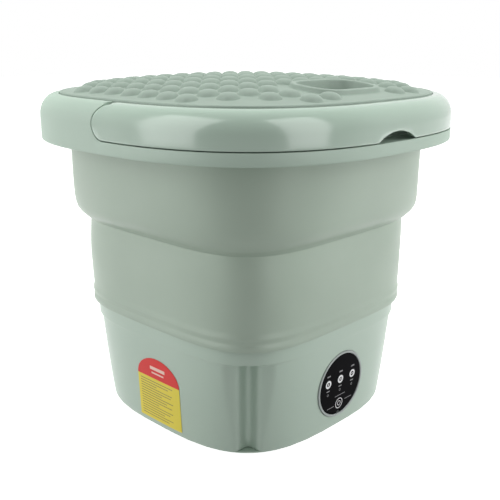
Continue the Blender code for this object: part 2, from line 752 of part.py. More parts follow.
def make_lid(look):
    builder = bmesh.new()
    tray_floor = dome(0.0, TRAY_Y) - TRAY_DEEP
    loops = [
        lifted(plan(LID_EDGE), LID_EDGE_TOP - 0.6),
        lifted(plan(LID_EDGE, 0.7), LID_EDGE_TOP + 0.5),
        lifted(plan(LID_EDGE, 2.6), LID_EDGE_TOP + 0.6),
        lifted(plan(LID_EDGE, 3.6), lambda x, y: dome(x, y)),
    ]
    wide = tuple(size + 1.0 for size in TRAY_OUT)
    loops.append(lifted(tray_ring(wide), dome))
    loops.append(lifted(tray_ring(TRAY_OUT), lambda x, y: dome(x, y) + TRAY_LIP - 0.8))
    crest_out = tuple(size - 1.2 for size in TRAY_OUT)
    crest_in = tuple(size + 1.2 for size in TRAY_IN)
    loops.append(lifted(tray_ring(crest_out), lambda x, y: dome(x, y) + TRAY_LIP))
    loops.append(lifted(tray_ring(crest_in), lambda x, y: dome(x, y) + TRAY_LIP))
    loops.append(lifted(tray_ring(TRAY_IN), lambda x, y: dome(x, y) + TRAY_LIP - 0.8))
    loops.append(lifted(tray_ring(tuple(size - 0.8 for size in TRAY_IN)), tray_floor + 2.0))
    loops.append(lifted(tray_ring(tuple(size - 2.8 for size in TRAY_IN)), tray_floor))
    singles = []
    for x, y in bump_centres():
        for radius, lift in ((BUMP_R, 0.0), (0.6 * BUMP_R, 0.8 * BUMP_HIGH)):
            hexagon = []
            for angle in even_angles(6):
                px = x + radius * math.cos(angle)
                py = y + radius * math.sin(angle)
                hexagon.append((px, py, dome(px, py) + lift))
            loops.append(hexagon)
        singles.append((x, y, dome(x, y) + BUMP_HIGH))
    upper = sheet(builder, loops, singles)
    tray_under = tray_floor - 2.2
    loops = [
        lifted(plan(LID_EDGE), LID_UNDER),
        lifted(plan(MOUTH_IN, 1.8), LID_UNDER),
        lifted(plan(MOUTH_IN, 2.0), 316.0),
        lifted(plan(MOUTH_IN, 4.0), 316.0),
        lifted(plan(MOUTH_IN, 4.2), lambda x, y: dome(x, y) - 2.5),
        lifted(tray_ring(tuple(size - 2.2 for size in TRAY_OUT)), lambda x, y: dome(x, y) - 2.5),
        lifted(tray_ring(tuple(size - 2.6 for size in TRAY_OUT)), tray_under),
    ]
    centre_ring = [(70.0 * math.cos(angle), 70.0 * math.sin(angle)) for angle in even_angles(12)]
    loops.append(lifted(centre_ring, lambda x, y: dome(x, y) - 2.5))
    loops.append(lifted([(110.0 * math.cos(angle), 110.0 * math.sin(angle))
                         for angle in even_angles(16)
                         if tray_gap(110.0 * math.cos(angle), 110.0 * math.sin(angle)) > 3.0],
                        lambda x, y: dome(x, y) - 2.5))
    lower = sheet(builder, loops, [(0.0, 0.0, dome(0.0, 0.0) - 2.5)], True)
    count = len(upper)
    for index in range(count):
        after = (index + 1) % count
        builder.faces.new((upper[index], lower[index], lower[after], upper[after]))
    return finish("lid", builder, look)


# ---------------------------------------------------------------- build

for old in list(bpy.data.objects):
    bpy.data.objects.remove(old, do_unlink=True)

SAGE = material("sage_plastic", (0.33, 0.43, 0.35), 0.28)
SOFT = material("tpe_bellows", (0.34, 0.42, 0.32), 0.45)
COVER = material("cover_plastic", (0.05, 0.055, 0.055), 0.5)
BLACK = material("gloss_black", (0.02, 0.02, 0.022), 0.12)
GREY = material("bezel_grey", (0.30, 0.33, 0.32), 0.35)
WHITE = material("white_plastic", (0.75, 0.76, 0.74), 0.35)
RUBBER = material("black_rubber", (0.03, 0.03, 0.03), 0.75)
STEEL = material("steel", (0.60, 0.61, 0.62), 0.3, 1.0)
BRASS = material("bronze", (0.62, 0.45, 0.22), 0.35, 1.0)
BOARD = material("circuit_board", (0.03, 0.20, 0.08), 0.45)
PAPER = material("label_film", (0.80, 0.66, 0.14), 0.4)

make_base(SAGE)
make_cover(COVER)
make_feet(RUBBER)
make_cover_screws(STEEL)
make_drive({"steel": STEEL, "can": STEEL, "brass": BRASS, "rubber": RUBBER})
make_pulsator(WHITE, STEEL)
make_panel({"grey": GREY, "black": BLACK, "board": BOARD})
make_label(PAPER)
make_drain(WHITE, RUBBER)
make_bellows(SOFT)
make_rim(SAGE)
make_handle(SAGE)
make_pins(STEEL)
make_lid(SAGE)
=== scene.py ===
"""Looks of the portable mini washer: surfaces, materials, light and camera round the model."""
import math

import bmesh
import bpy
import numpy as np
from mathutils import Matrix, Vector
from mathutils.geometry import delaunay_2d_cdt


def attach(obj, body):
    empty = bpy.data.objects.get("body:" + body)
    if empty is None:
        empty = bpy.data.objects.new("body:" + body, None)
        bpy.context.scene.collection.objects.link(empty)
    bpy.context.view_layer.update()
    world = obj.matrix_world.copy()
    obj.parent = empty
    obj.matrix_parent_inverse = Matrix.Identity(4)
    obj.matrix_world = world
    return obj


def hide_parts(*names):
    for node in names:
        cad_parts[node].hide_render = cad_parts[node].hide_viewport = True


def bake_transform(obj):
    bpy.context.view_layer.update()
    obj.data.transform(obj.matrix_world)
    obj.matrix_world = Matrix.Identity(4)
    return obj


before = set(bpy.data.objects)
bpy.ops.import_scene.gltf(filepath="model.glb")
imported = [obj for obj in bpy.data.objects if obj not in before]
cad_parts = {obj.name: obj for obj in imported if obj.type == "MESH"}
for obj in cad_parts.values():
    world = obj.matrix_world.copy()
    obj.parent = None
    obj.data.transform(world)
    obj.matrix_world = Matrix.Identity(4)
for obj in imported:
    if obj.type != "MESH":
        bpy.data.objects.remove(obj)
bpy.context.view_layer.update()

# The helpers below work in millimetres, and every mesh is written in metres.
MM = 0.001

# Heights above the floor
WALL_BOTTOM = 3.4
LEDGE_LOW = 94.5
LEDGE_HIGH = 96.5
SEAM = 110.6
COLLAR_TOP = 117.5
DECK_TOP = 76.0
DECK_UNDER = 72.0
FLANGE_LOW = 282.3
WEB_UNDER = 291.5
WEB_TOP = 293.7
SEAT_TOP = 323.5
SHELL_TOP = 325.6
LID_UNDER = 324.0
LID_EDGE_TOP = 326.8

# Plan shapes: (half width of a side, superellipse exponent)
BASE_FOOT = (128.1, 3.15)
BASE_HIGH = (132.2, 3.9)
BASE_RING = (132.5, 4.05)
COLLAR_OUT = (129.4, 4.05)
FLANGE_OUT = (186.8, 2.7)
SHELL_INSIDE = (184.4, 2.7)
WEB_IN = (156.8, 2.9)
SEAT_OUT = (167.6, 2.83)
MOUTH_IN = (163.0, 2.8)
MOUTH_OUT = (165.5, 2.8)
LID_EDGE = (166.7, 2.84)

# Base wall and its four scooped corners
WALL = 2.8
CHAMFER_LOW = 145.0
CHAMFER_RISE = 0.068
SCOOP_DEPTH = 9.0
SCOOP_HALF = 13.0
HOLE_R = 11.2

# Handle
PIVOT_Y = -13.5
PIVOT_Z = 318.0
END_Z = 309.3
END_R = 14.6
END_GAP = 1.2
RELIEF_Y = -5.0
NOTCH_X = -8.0
NOTCH_HALF = 27.0
NOTCH_HIGH = 8.0
PIN_R = 2.3

# Lid
LID_SKIN = 2.5
DOME_RISE = 12.6
BUMP_PITCH = 24.0
BUMP_R = 10.2
BUMP_HIGH = 4.9
BUMP_ROWS = 6
TRAY_Y = -112.0
TRAY_OUT = (44.0, 29.0, 24.0)
TRAY_IN = (38.5, 23.5, 18.5)
TRAY_LIP = 4.2
TRAY_DEEP = 9.0

# Wash disc and shaft
SHAFT_R = 4.0
PULSATOR_R = 90.0

# Fittings on the walls
PANEL_Z = 47.5
PANEL_R = 31.9
OPENING_R = PANEL_R + 3.0
POCKET_R = PANEL_R + 5.3
DRAFT = math.radians(2.5)
DRAIN_X = 26.0
SOCKET_X = -26.0
DRAIN_Y = 92.0
OUTLET_Z = 14.5

# Camera, in metres and radians
CAMERA_AT = (-0.5559, -0.5400, 0.3800)
CAMERA_LEVEL = (0.7208, 0.6931, 0.0)
CAMERA_PITCH = math.radians(15.89)
CAMERA_ROLL = math.radians(0.14)
CAMERA_LENS = 54.4


# ---------------------------------------------------------------- mesh helpers


def corner_angles(per_quarter=72, power=1.6):
    """Angles round the plan, closer together at the four corners."""
    angles = []
    for quarter in range(4):
        middle = 45.0 + 90.0 * quarter
        for index in range(per_quarter):
            across = -1.0 + 2.0 * index / per_quarter
            step = 45.0 * math.copysign(abs(across) ** power, across)
            angles.append(math.radians(middle + step))
    return np.array(angles)


ROUND = corner_angles()


def reach(half, power, angle):
    """Distance from the centre to a superellipse in one direction."""
    cosine = np.abs(np.cos(angle))
    sine = np.abs(np.sin(angle))
    return half / (cosine ** power + sine ** power) ** (1.0 / power)


def polar(radii, height, angles=ROUND):
    radii = np.broadcast_to(radii, angles.shape)
    heights = np.broadcast_to(height, angles.shape)
    return np.stack([radii * np.cos(angles), radii * np.sin(angles), heights], axis=1)


def ring(shape, height, inset=0.0):
    return polar(reach(shape[0], shape[1], ROUND) - inset, height)


def base_radius(height, scooped=True):
    """Outer wall of the base below the ledge: bowed faces, flat corners with a scoop."""
    share = (height - WALL_BOTTOM) / (LEDGE_LOW - WALL_BOTTOM)
    half = BASE_FOOT[0] + share * (BASE_HIGH[0] - BASE_FOOT[0])
    power = BASE_FOOT[1] + share * (BASE_HIGH[1] - BASE_FOOT[1])
    from_corner = (ROUND % (math.pi / 2)) - math.pi / 4
    flat = (CHAMFER_LOW + CHAMFER_RISE * height) / np.cos(from_corner)
    radius = np.minimum(reach(half, power, ROUND), flat)
    if scooped:
        across = np.minimum(np.abs(radius * np.sin(from_corner)), SCOOP_HALF)
        radius = radius - SCOOP_DEPTH * np.cos(0.5 * math.pi * across / SCOOP_HALF) ** 2
    return radius


def base_ring(height, level=None, inset=0.0, scooped=True):
    level = height if level is None else level
    return polar(base_radius(level, scooped) - inset, height)


def soften(rings, radius, closed=True, steps=3):
    """Round the corners of a profile whose points are whole rings."""
    count = len(rings)
    result = []
    for index, here in enumerate(rings):
        if not closed and index in (0, count - 1):
            result.append(here)
            continue
        before = rings[index - 1]
        after = rings[(index + 1) % count]
        room_before = np.linalg.norm(before - here, axis=1).mean()
        room_after = np.linalg.norm(after - here, axis=1).mean()
        size = min(radius, 0.45 * min(room_before, room_after))
        start = here + (before - here) * size / max(1e-6, room_before)
        end = here + (after - here) * size / max(1e-6, room_after)
        for step in range(steps + 1):
            t = step / steps
            result.append((1 - t) ** 2 * start + 2 * t * (1 - t) * here + t ** 2 * end)
    return result


def smooth(mesh, degrees=34.0):
    mesh.shade_smooth()
    mesh.set_sharp_from_angle(angle=math.radians(degrees))


def make(name, points, faces, look, degrees=34.0):
    """A mesh object from points in millimetres, with its faces turned outwards."""
    mesh = bpy.data.meshes.new(name)
    mesh.from_pydata([tuple(point) for point in np.asarray(points, float) * MM], [], faces)
    builder = bmesh.new()
    builder.from_mesh(mesh)
    bmesh.ops.recalc_face_normals(builder, faces=builder.faces[:])
    builder.to_mesh(mesh)
    builder.free()
    smooth(mesh, degrees)
    made = bpy.data.objects.new(name, mesh)
    bpy.context.scene.collection.objects.link(made)
    if look is not None:
        mesh.materials.append(look)
    return made


def loft(name, rings, look, closed=True, caps=False, degrees=34.0):
    """Skin a run of rings. Closed joins the last ring to the first; caps shut both ends."""
    count = len(rings[0])
    faces = []
    last = len(rings) if closed else len(rings) - 1
    for index in range(last):
        low = index * count
        high = ((index + 1) % len(rings)) * count
        for near in range(count):
            far = (near + 1) % count
            faces.append((low + near, low + far, high + far, high + near))
    if caps:
        faces.append(tuple(range(count)))
        faces.append(tuple(range((len(rings) - 1) * count, len(rings) * count)))
    return make(name, np.concatenate(rings), faces, look, degrees)


def even_angles(count):
    return 2.0 * math.pi * np.arange(count) / count


def upright(x, y, z):
    return Matrix.Translation((x, y, z))


def facing(x, y, z, direction):
    turn = Vector((0.0, 0.0, 1.0)).rotation_difference(Vector(direction))
    return Matrix.Translation((x, y, z)) @ turn.to_matrix().to_4x4()


def placed(points, place):
    turn = np.array(place.to_3x3())
    return points @ turn.T + np.array(place.translation)


def turned(name, profile, look, place, sides=96, hollow=False, soft=0.0):
    """Turn a profile of (radius, distance along the axis) about the local Z axis of a frame."""
    angles = even_angles(sides)
    rings = [polar(radius, along, angles) for radius, along in profile]
    if soft > 0.0:
        rings = soften(rings, soft, hollow)
    rings = [placed(row, place) for row in rings]
    return loft(name, rings, look, hollow, not hollow)


def applied(target):
    """Replace an object's mesh by what its modifiers make of it."""
    graph = bpy.context.evaluated_depsgraph_get()
    mesh = bpy.data.meshes.new_from_object(target.evaluated_get(graph))
    target.modifiers.clear()
    target.data = mesh
    return target


def cut(target, tool, operation="DIFFERENCE"):
    step = target.modifiers.new("cut", "BOOLEAN")
    step.operation = operation
    step.solver = "EXACT"
    step.object = tool
    applied(target)
    bpy.data.objects.remove(tool, do_unlink=True)
    return target


def edge_round(target, width, degrees=40.0, segments=2):
    """Small radius on every sharp edge, then smooth shading."""
    step = target.modifiers.new("edges", "BEVEL")
    step.width = width * MM
    step.segments = segments
    step.limit_method = "ANGLE"
    step.angle_limit = math.radians(degrees)
    step.harden_normals = False
    applied(target)
    smooth(target.data)
    return target


def outline_prism(name, outline, low, high):
    """Extrude an outline of (y, z) points along X."""
    count = len(outline)
    points = [(low, y, z) for y, z in outline] + [(high, y, z) for y, z in outline]
    faces = [tuple(range(count)), tuple(range(count, 2 * count))]
    for index in range(count):
        after = (index + 1) % count
        faces.append((index, after, count + after, count + index))
    return make(name, points, faces, None)


def base_half(height):
    share = (height - WALL_BOTTOM) / (LEDGE_LOW - WALL_BOTTOM)
    return BASE_FOOT[0] + share * (BASE_HIGH[0] - BASE_FOOT[0])


def wall_depth(across, height):
    """Distance of the bowed side wall from the middle of the base."""
    share = (height - WALL_BOTTOM) / (LEDGE_LOW - WALL_BOTTOM)
    power = BASE_FOOT[1] + share * (BASE_HIGH[1] - BASE_FOOT[1])
    return (base_half(height) ** power - abs(across) ** power) ** (1.0 / power)


def on_wall(x, z, side):
    """Frame on the front (-1) or back (+1) wall whose local Z points out of the wall."""
    direction = (0.0, side * math.cos(DRAFT), -math.sin(DRAFT))
    return facing(x, side * wall_depth(x, z), z, direction)


PANEL_FRAME = on_wall(0.0, PANEL_Z, -1.0)
SOCKET_FRAME = on_wall(SOCKET_X, OUTLET_Z, 1.0)
DRAIN_FRAME = on_wall(DRAIN_X, OUTLET_Z, 1.0)


# ---------------------------------------------------------------- materials


def plastic(name, colour, roughness, grain=0.05, grain_scale=900.0, mottle=0.04, coat=0.0,
            shine=0.5, metallic=0.0):
    """Moulded or metal surface: faint colour drift, uneven gloss and a fine moulded grain."""
    made = bpy.data.materials.new(name)
    made.use_nodes = True
    nodes = made.node_tree.nodes
    links = made.node_tree.links
    shader = nodes["Principled BSDF"]
    shader.inputs["Metallic"].default_value = metallic
    shader.inputs["Coat Weight"].default_value = coat
    shader.inputs["Coat Roughness"].default_value = 0.12
    shader.inputs["Specular IOR Level"].default_value = shine
    place = nodes.new("ShaderNodeTexCoord")
    drift = nodes.new("ShaderNodeTexNoise")
    drift.inputs["Scale"].default_value = 9.0
    drift.inputs["Detail"].default_value = 4.0
    links.new(place.outputs["Object"], drift.inputs["Vector"])
    tint = nodes.new("ShaderNodeValToRGB")
    tint.color_ramp.elements[0].position = 0.3
    tint.color_ramp.elements[1].position = 0.7
    tint.color_ramp.elements[0].color = (*[part * (1.0 - mottle) for part in colour], 1.0)
    tint.color_ramp.elements[1].color = (*[min(1.0, part * (1.0 + mottle)) for part in colour], 1.0)
    links.new(drift.outputs["Fac"], tint.inputs["Fac"])
    links.new(tint.outputs["Color"], shader.inputs["Base Color"])
    patches = nodes.new("ShaderNodeTexNoise")
    patches.inputs["Scale"].default_value = 30.0
    patches.inputs["Detail"].default_value = 5.0
    links.new(place.outputs["Object"], patches.inputs["Vector"])
    gloss = nodes.new("ShaderNodeMapRange")
    gloss.inputs["From Min"].default_value = 0.25
    gloss.inputs["From Max"].default_value = 0.75
    gloss.inputs["To Min"].default_value = roughness - 0.04
    gloss.inputs["To Max"].default_value = roughness + 0.06
    links.new(patches.outputs["Fac"], gloss.inputs["Value"])
    links.new(gloss.outputs["Result"], shader.inputs["Roughness"])
    grit = nodes.new("ShaderNodeTexNoise")
    grit.inputs["Scale"].default_value = grain_scale
    grit.inputs["Detail"].default_value = 3.0
    links.new(place.outputs["Object"], grit.inputs["Vector"])
    relief = nodes.new("ShaderNodeBump")
    relief.inputs["Strength"].default_value = grain
    relief.inputs["Distance"].default_value = 0.0004
    links.new(grit.outputs["Fac"], relief.inputs["Height"])
    links.new(relief.outputs["Normal"], shader.inputs["Normal"])
    return made


SAGE = plastic("sage_plastic", (0.355, 0.454, 0.378), 0.32, 0.05, 1100.0, 0.02)
# Lid: the sage colour made about a quarter darker. This is painted shade that offsets the strong
# light from above on the lid's upper face.
SAGE_LID_PAINTED_SHADE = plastic("sage_lid_painted_shade", (0.258, 0.326, 0.275), 0.55, 0.05, 1100.0, 0.02, 0.0, 0.35)
SAGE_SHELL = plastic("sage_shell", (0.358, 0.460, 0.384), 0.50, 0.05, 1100.0, 0.02, 0.0, 0.40)
SAGE_RIM = plastic("sage_rim", (0.360, 0.474, 0.390), 0.16, 0.03, 1300.0, 0.02, 0.2)
SOFT = plastic("tpe_bellows", (0.302, 0.380, 0.306), 0.42, 0.08, 700.0, 0.045)
BLACK = plastic("gloss_black", (0.012, 0.012, 0.013), 0.16, 0.01, 1500.0, 0.02, 0.0, 0.0)
GREY = plastic("bezel_grey", (0.30, 0.335, 0.325), 0.34, 0.05, 1200.0, 0.03)
WHITE = plastic("white_plastic", (0.72, 0.73, 0.70), 0.34, 0.05, 1000.0, 0.02)
RUBBER = plastic("black_rubber", (0.022, 0.022, 0.022), 0.72, 0.35, 900.0, 0.08)
STEEL = plastic("steel", (0.55, 0.56, 0.57), 0.28, 0.10, 1600.0, 0.05, 0.0, 0.5, 1.0)
BRASS = plastic("bronze", (0.60, 0.42, 0.20), 0.36, 0.20, 1300.0, 0.07, 0.0, 0.5, 1.0)
BOARD = plastic("circuit_board", (0.02, 0.15, 0.06), 0.42, 0.15, 900.0, 0.10)
SOCKET = plastic("socket_black", (0.018, 0.018, 0.018), 0.45, 0.1, 1100.0, 0.05)
YELLOW = plastic("label_yellow", (0.70, 0.59, 0.065), 0.42, 0.02, 1400.0, 0.03, 0.0, 0.2)
RED = plastic("label_red", (0.62, 0.030, 0.028), 0.42, 0.02, 1400.0, 0.04, 0.0, 0.2)
INK = plastic("label_ink", (0.23, 0.18, 0.035), 0.5, 0.02, 1400.0, 0.12)
PRINT = plastic("panel_print", (0.72, 0.73, 0.74), 0.35, 0.02, 1400.0, 0.03)
PALE = plastic("label_pale", (0.72, 0.50, 0.42), 0.42, 0.02, 1400.0, 0.03)
FAINT = plastic("panel_faint", (0.16, 0.16, 0.17), 0.35, 0.02, 1400.0, 0.06)


def done(piece, body, slot, *nodes):
    """Ride on a body and stand for the plain nodes. The slot argument is not used."""
    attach(piece, body)
    if nodes:
        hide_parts(*nodes)
    return piece


# ---------------------------------------------------------------- base


def make_base():
    rings = [
        base_ring(WALL_BOTTOM, inset=WALL),
        base_ring(WALL_BOTTOM, inset=0.6),
        base_ring(WALL_BOTTOM + 1.4),
    ]
    rings += [base_ring(level) for level in (20.0, 35.0, 50.0, 65.0, 80.0, LEDGE_LOW)]
    rings += [
        ring(BASE_RING, LEDGE_HIGH),
        ring(BASE_RING, SEAM),
        ring(COLLAR_OUT, SEAM),
        ring(COLLAR_OUT, COLLAR_TOP),
        ring(COLLAR_OUT, COLLAR_TOP, 2.2),
        base_ring(LEDGE_HIGH + 1.0, LEDGE_LOW, WALL),
        base_ring(DECK_TOP + 3.0, inset=WALL),
        base_ring(DECK_TOP, inset=WALL + 5.0),
        polar(24.0, DECK_TOP),
        polar(HOLE_R, DECK_TOP),
        polar(HOLE_R, DECK_UNDER),
        polar(24.0, DECK_UNDER),
        base_ring(DECK_UNDER, inset=WALL),
    ]
    shell = loft("base_skin", soften(rings, 0.9), SAGE)
    pocket = ((POCKET_R, -9.6), (POCKET_R, -1.0))
    cut(shell, turned("add_pocket", pocket, None, PANEL_FRAME), "UNION")
    wires = PANEL_FRAME @ Matrix.Translation((0.0, -20.0, 0.0))
    for name, radius, deep, place in (("panel", OPENING_R, 7.8, PANEL_FRAME),
                                      ("wires", 2.5, 12.0, wires),
                                      ("socket", 5.4, 12.0, SOCKET_FRAME),
                                      ("drain", 7.4, 14.0, DRAIN_FRAME)):
        cut(shell, turned("cut_" + name, ((radius, -deep), (radius, 6.0)), None, place))
    sump = ((6.0, DECK_UNDER - 2.0), (6.0, DECK_TOP + 2.0))
    cut(shell, turned("cut_sump", sump, None, upright(DRAIN_X, DRAIN_Y, 0.0), 48))
    smooth(shell.data)
    done(shell, "base", "sage_plastic", "base_shell")


# ---------------------------------------------------------------- tub


def make_tub():
    """One soft wall from the base to the rim, a little uneven as a thin moulding is."""
    profile = [
        (135.4, 4.22, 111.0), (135.9, 4.22, 112.0), (135.9, 4.22, 116.2), (135.3, 4.22, 117.4),
        (135.3, 4.22, 120.0), (136.0, 4.22, 121.6), (136.0, 4.22, 124.6), (135.4, 4.22, 126.4),
    ]
    lower_levels = np.linspace(130.0, 199.0, 12)
    for level in lower_levels:
        profile.append((135.3 + 0.9 * math.sin(math.pi * (level - 130.0) / 69.0), 4.22, level))
    profile += [
        (136.6, 4.21, 201.0), (139.6, 4.15, 202.8), (144.0, 3.76, 205.6), (149.0, 3.45, 209.2),
        (152.8, 3.28, 213.4), (154.9, 3.17, 218.0), (155.8, 3.13, 224.0), (156.6, 3.07, 236.0),
        (157.4, 3.0, 252.0), (158.3, 2.95, 270.0), (159.2, 2.9, 288.4),
        (172.0, 2.75, 288.6), (172.0, 2.75, 291.1), (157.0, 2.9, 291.1),
        (156.0, 2.95, 270.0), (155.1, 3.0, 252.0), (154.0, 3.1, 234.0), (152.9, 3.15, 219.5),
        (149.8, 3.35, 213.2), (142.2, 3.8, 206.8), (137.0, 4.1, 203.6), (134.2, 4.21, 201.0),
    ]
    for level in reversed(lower_levels):
        profile.append((133.3 + 0.7 * math.sin(math.pi * (level - 130.0) / 69.0), 4.22, level))
    profile.append((133.3, 4.22, 111.0))
    rows = []
    for half, power, level in profile:
        radii = reach(half, power, ROUND)
        loose = max(0.0, math.sin(math.pi * (level - 111.0) / 175.0))
        ripple = 0.35 * np.sin(3.0 * ROUND + level * 0.05)
        ripple = ripple + 0.25 * np.sin(7.0 * ROUND - level * 0.09)
        rows.append(polar(radii + loose * ripple, level))
    wall = loft("tub_wall", rows, SOFT)
    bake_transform(wall)
    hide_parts("bellows_lower", "bellows_upper")


# ---------------------------------------------------------------- rim and handle


SHELL_OUT = (
    ((186.8, 2.7), 306.0), ((186.5, 2.7), 309.5), ((185.6, 2.7), 313.0), ((184.3, 2.705), 316.2),
    ((182.4, 2.71), 319.2), ((180.2, 2.72), 321.7), ((177.6, 2.73), 323.8), ((174.0, 2.75), 325.3),
)
SHELL_IN = (
    (SHELL_INSIDE, 305.5), ((183.3, 2.7), 312.2), ((180.3, 2.71), 317.8), ((176.2, 2.73), 321.6),
    ((173.2, 2.75), 323.0),
)


def side_outline(grow, top_y, steps=48):
    """Side view (y, z) of the handle: long band with a round end just in front of the middle."""
    radius = END_R + grow
    outline = [(-240.0, END_Z - radius)]
    for step in range(steps + 1):
        angle = math.radians(-90.0 + 180.0 * step / steps)
        y = PIVOT_Y + radius * math.cos(angle)
        z = END_Z + radius * math.sin(angle)
        if y < top_y and angle > 0.0:
            break
        outline.append((y, z))
    reach_up = math.sqrt(radius ** 2 - (top_y - PIVOT_Y) ** 2)
    outline.append((top_y, END_Z + reach_up))
    outline += [(top_y, 350.0), (-240.0, 350.0)]
    return outline


def pin_hole(target, side):
    place = facing(side * 150.0, PIVOT_Y, PIVOT_Z, (side, 0.0, 0.0))
    hole = ((PIN_R + 0.12, 0.0), (PIN_R + 0.12, 27.2))
    cut(target, turned("cut_pin", hole, None, place, 24))


def make_rim():
    rings = [
        ring(WEB_IN, WEB_UNDER), ring(SHELL_INSIDE, WEB_UNDER), ring(SHELL_INSIDE, FLANGE_LOW),
        ring((186.0, 2.7), FLANGE_LOW), ring(FLANGE_OUT, FLANGE_LOW + 1.0),
    ]
    rings += [ring(shape, height) for shape, height in SHELL_OUT]
    rings += [
        ring(SEAT_OUT, SHELL_TOP), ring(SEAT_OUT, SEAT_TOP), ring(MOUTH_IN, SEAT_TOP),
        ring(MOUTH_IN, WEB_TOP), ring(WEB_IN, WEB_TOP),
    ]
    rim = loft("rim_skin", soften(rings, 0.7, steps=2), SAGE_SHELL)
    cavity = [ring(MOUTH_OUT, WEB_TOP), ring(SHELL_INSIDE, WEB_TOP)]
    cavity += [ring(shape, height) for shape, height in SHELL_IN]
    cavity += [ring((170.0, 2.8), 323.2), ring((169.0, 2.8), 321.2), ring(MOUTH_OUT, 321.2)]
    cut(rim, loft("cut_cavity", cavity, None))
    front = outline_prism("cut_front", side_outline(END_GAP, RELIEF_Y), -230.0, 230.0)
    plug = [ring((165.0, 2.8), 270.0), ring((165.0, 2.8), 370.0)]
    cut(front, loft("cut_plug", plug, None, False, True))
    cut(rim, front)
    for side in (-1.0, 1.0):
        pin_hole(rim, side)
    edge_round(rim, 0.45)
    done(rim, "rim", "sage_plastic", "rim_ring")


def make_handle():
    outer = [ring(FLANGE_OUT, 290.0), ring(FLANGE_OUT, 296.5)]
    outer += [ring(shape, height) for shape, height in SHELL_OUT]
    outer.append(ring(SEAT_OUT, SHELL_TOP))
    solid = reach(169.6, 2.8, ROUND)
    near_end = np.abs(np.sin(ROUND)) < 0.25
    inner = []
    for shape, height in ((SEAT_OUT, 323.2), *reversed(SHELL_IN), (SHELL_INSIDE, 290.0)):
        thin = reach(shape[0], shape[1], ROUND)
        inner.append(polar(np.where(near_end, np.minimum(thin, solid), thin), height))
    handle = loft("handle_skin", outer + inner, SAGE_RIM)
    cut(handle, outline_prism("cut_band", side_outline(0.0, PIVOT_Y), -230.0, 230.0), "INTERSECT")
    bow = (NOTCH_HALF ** 2 + NOTCH_HIGH ** 2) / (2.0 * NOTCH_HIGH)
    arch = facing(NOTCH_X, -150.0, END_Z - END_R + NOTCH_HIGH - bow, (0.0, -1.0, 0.0))
    cut(handle, turned("cut_notch", ((bow, 0.0), (bow, 60.0)), None, arch, 128))
    for side in (-1.0, 1.0):
        pin_hole(handle, side)
    edge_round(handle, 0.6)
    done(handle, "handle", "sage_plastic", "handle")


# ---------------------------------------------------------------- lid


def dome(x, y):
    """Height of the smooth lid skin at points in plan."""
    share = np.hypot(x, y) / reach(LID_EDGE[0], LID_EDGE[1], np.arctan2(y, x))
    return LID_EDGE_TOP + DOME_RISE * np.maximum(0.0, 1.0 - share ** 2)


def tray_gap(x, y):
    """Distance in plan from points to the outside of the tray lip."""
    over_x = np.maximum(0.0, np.abs(x) - (TRAY_OUT[0] - TRAY_OUT[2]))
    over_y = np.maximum(0.0, np.abs(y - TRAY_Y) - (TRAY_OUT[1] - TRAY_OUT[2]))
    return np.hypot(over_x, over_y) - TRAY_OUT[2]


def bump_centres():
    centres = []
    for row in range(-BUMP_ROWS, BUMP_ROWS + 1):
        for column in range(-BUMP_ROWS, BUMP_ROWS + 1):
            x, y = column * BUMP_PITCH, row * BUMP_PITCH
            room = reach(LID_EDGE[0], LID_EDGE[1], math.atan2(y, x)) - math.hypot(x, y)
            if room > 15.0 and tray_gap(x, y) > 10.5:
                centres.append((x, y))
    return centres


def bump_lift(distance):
    """Round dimple standing on the skin, with a small fillet where it meets it."""
    share = np.clip(distance / BUMP_R, 0.0, 1.0)
    return BUMP_HIGH * np.sqrt(np.clip(1.0 - share ** 2, 0.0, 1.0)) * (1.0 - share ** 8)


def tray_ring(size, per_corner=14):
    """Oblong with round corners about the tray centre: (half length, half width, radius)."""
    long, wide, radius = size
    points = []
    for quarter in range(4):
        corner_x = (long - radius) * (1 if quarter in (0, 3) else -1)
        corner_y = (wide - radius) * (1 if quarter in (0, 1) else -1)
        for step in range(per_corner + 1):
            angle = 0.5 * math.pi * (quarter + step / per_corner)
            points.append((corner_x + radius * math.cos(angle),
                           TRAY_Y + corner_y + radius * math.sin(angle)))
    return np.array(points)


def lifted(points, height):
    """Points in plan raised to a level, or to what a function of x and y gives."""
    if callable(height):
        height = height(points[:, 0], points[:, 1])
    return np.column_stack([points, np.broadcast_to(height, len(points))])


def plan(shape, inset=0.0):
    return ring(shape, 0.0, inset)[:, :2]


def above(rise):
    """Height function that follows the smooth lid skin at a distance."""
    return lambda x, y: dome(x, y) + rise


def tray_loop(size, grow, height):
    return lifted(tray_ring(tuple(part + grow for part in size)), height)


def grid(half, step, shape):
    """Square grid in plan, and the room each of its points has to the edge of a shape."""
    steps = np.arange(-half, half + 0.1, step)
    x, y = (axis.ravel() for axis in np.meshgrid(steps, steps))
    return x, y, reach(shape[0], shape[1], np.arctan2(y, x)) - np.hypot(x, y)


def sheet(loops, singles, first_index):
    """Triangulate loops and single points from above. Returns points, faces and the first loop."""
    flat = []
    heights = []
    edges = []
    for loop in loops:
        start = len(flat)
        for index, (x, y, z) in enumerate(loop):
            flat.append(Vector((x, y)))
            heights.append(z)
            edges.append((start + index, start + (index + 1) % len(loop)))
    for x, y, z in singles:
        flat.append(Vector((x, y)))
        heights.append(z)
    places, _, faces, sources, _, _ = delaunay_2d_cdt(flat, edges, [], 0, 1e-5)
    points = [(place.x, place.y, heights[source[0]]) for place, source in zip(places, sources)]
    found = {}
    for number, source in enumerate(sources):
        for index in source:
            found[index] = number
    border = [found[index] + first_index for index in range(len(loops[0]))]
    faces = [tuple(corner + first_index for corner in face) for face in faces]
    return points, faces, border


